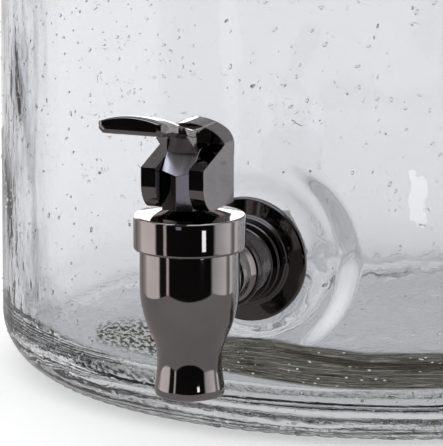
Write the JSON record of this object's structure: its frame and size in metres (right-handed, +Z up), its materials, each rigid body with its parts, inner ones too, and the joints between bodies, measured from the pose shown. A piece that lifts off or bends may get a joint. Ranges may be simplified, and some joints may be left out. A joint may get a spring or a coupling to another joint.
{
  "type": "beverage dispenser",
  "caption": "Round clear glass beverage dispenser with a lift-off glass lid and a black chromed tulip tap whose press-down lever lifts the valve stem.",
  "frame": {"origin": "centre of the flat face the jar stands on, on the jar's upright axis", "axes": "+Z up the jar's axis, -Y towards the tap and the person who pours, +X to that person's right"},
  "size_m": [0.262, 0.3553, 0.3158],
  "materials": {
    "clear_glass": "clear, seeded with small bubbles",
    "black_chrome": "polished black chrome plate",
    "stainless_steel": "satin",
    "black_rubber": "matt",
    "milky_silicone": "satin, translucent"
  },
  "bodies": {
    "jar_and_tap": {"glass_jar": "clear_glass", "tap_body": "black_chrome", "shank": "stainless_steel", "escutcheon": "black_chrome", "escutcheon_o_ring": "black_rubber", "neck_sleeve": "black_chrome", "neck_ring": "black_chrome", "outer_gasket": "black_rubber", "inner_gasket": "milky_silicone", "inner_washer": "stainless_steel", "shank_nut": "stainless_steel", "bonnet_ring": "black_chrome", "bonnet_o_ring": "black_rubber", "stem_o_ring": "black_rubber", "valve_spring": "stainless_steel"},
    "stem": {"valve_stem": "stainless_steel", "stem_head": "black_chrome", "valve_disc": "milky_silicone", "disc_backing": "stainless_steel", "spring_cup": "stainless_steel", "disc_screw": "stainless_steel"},
    "lever_arm": {"lever": "black_chrome", "pivot_pin": "stainless_steel"},
    "lid_unit": {"lid": "clear_glass", "lid_seal": "milky_silicone", "knob": "black_chrome", "knob_pad": "milky_silicone", "knob_washer": "stainless_steel", "knob_screw": "stainless_steel"}
  },
  "joints": [
    {"name": "valve_lift", "type": "slide", "parent": "jar_and_tap", "child": "stem", "axis": [0, 0, 1], "range_m": [0, 0.00284], "stiffness_N_per_m": 900, "springref_m": -0.006, "deforming": ["valve_spring"]},
    {"name": "lever_press", "type": "hinge", "parent": "stem", "child": "lever_arm", "pos_m": [0, -0.1801, 0.094], "axis": [1, 0, 0], "range_deg": [0, 22]},
    {"name": "lid_lift", "type": "slide", "parent": "jar_and_tap", "child": "lid_unit", "axis": [0, 0, 1], "range_m": [0, 0.12]}
  ],
  "couplings": [
    {"joint": "lever_press", "follows": "valve_lift", "rad_per_m": 135.1}
  ]
}
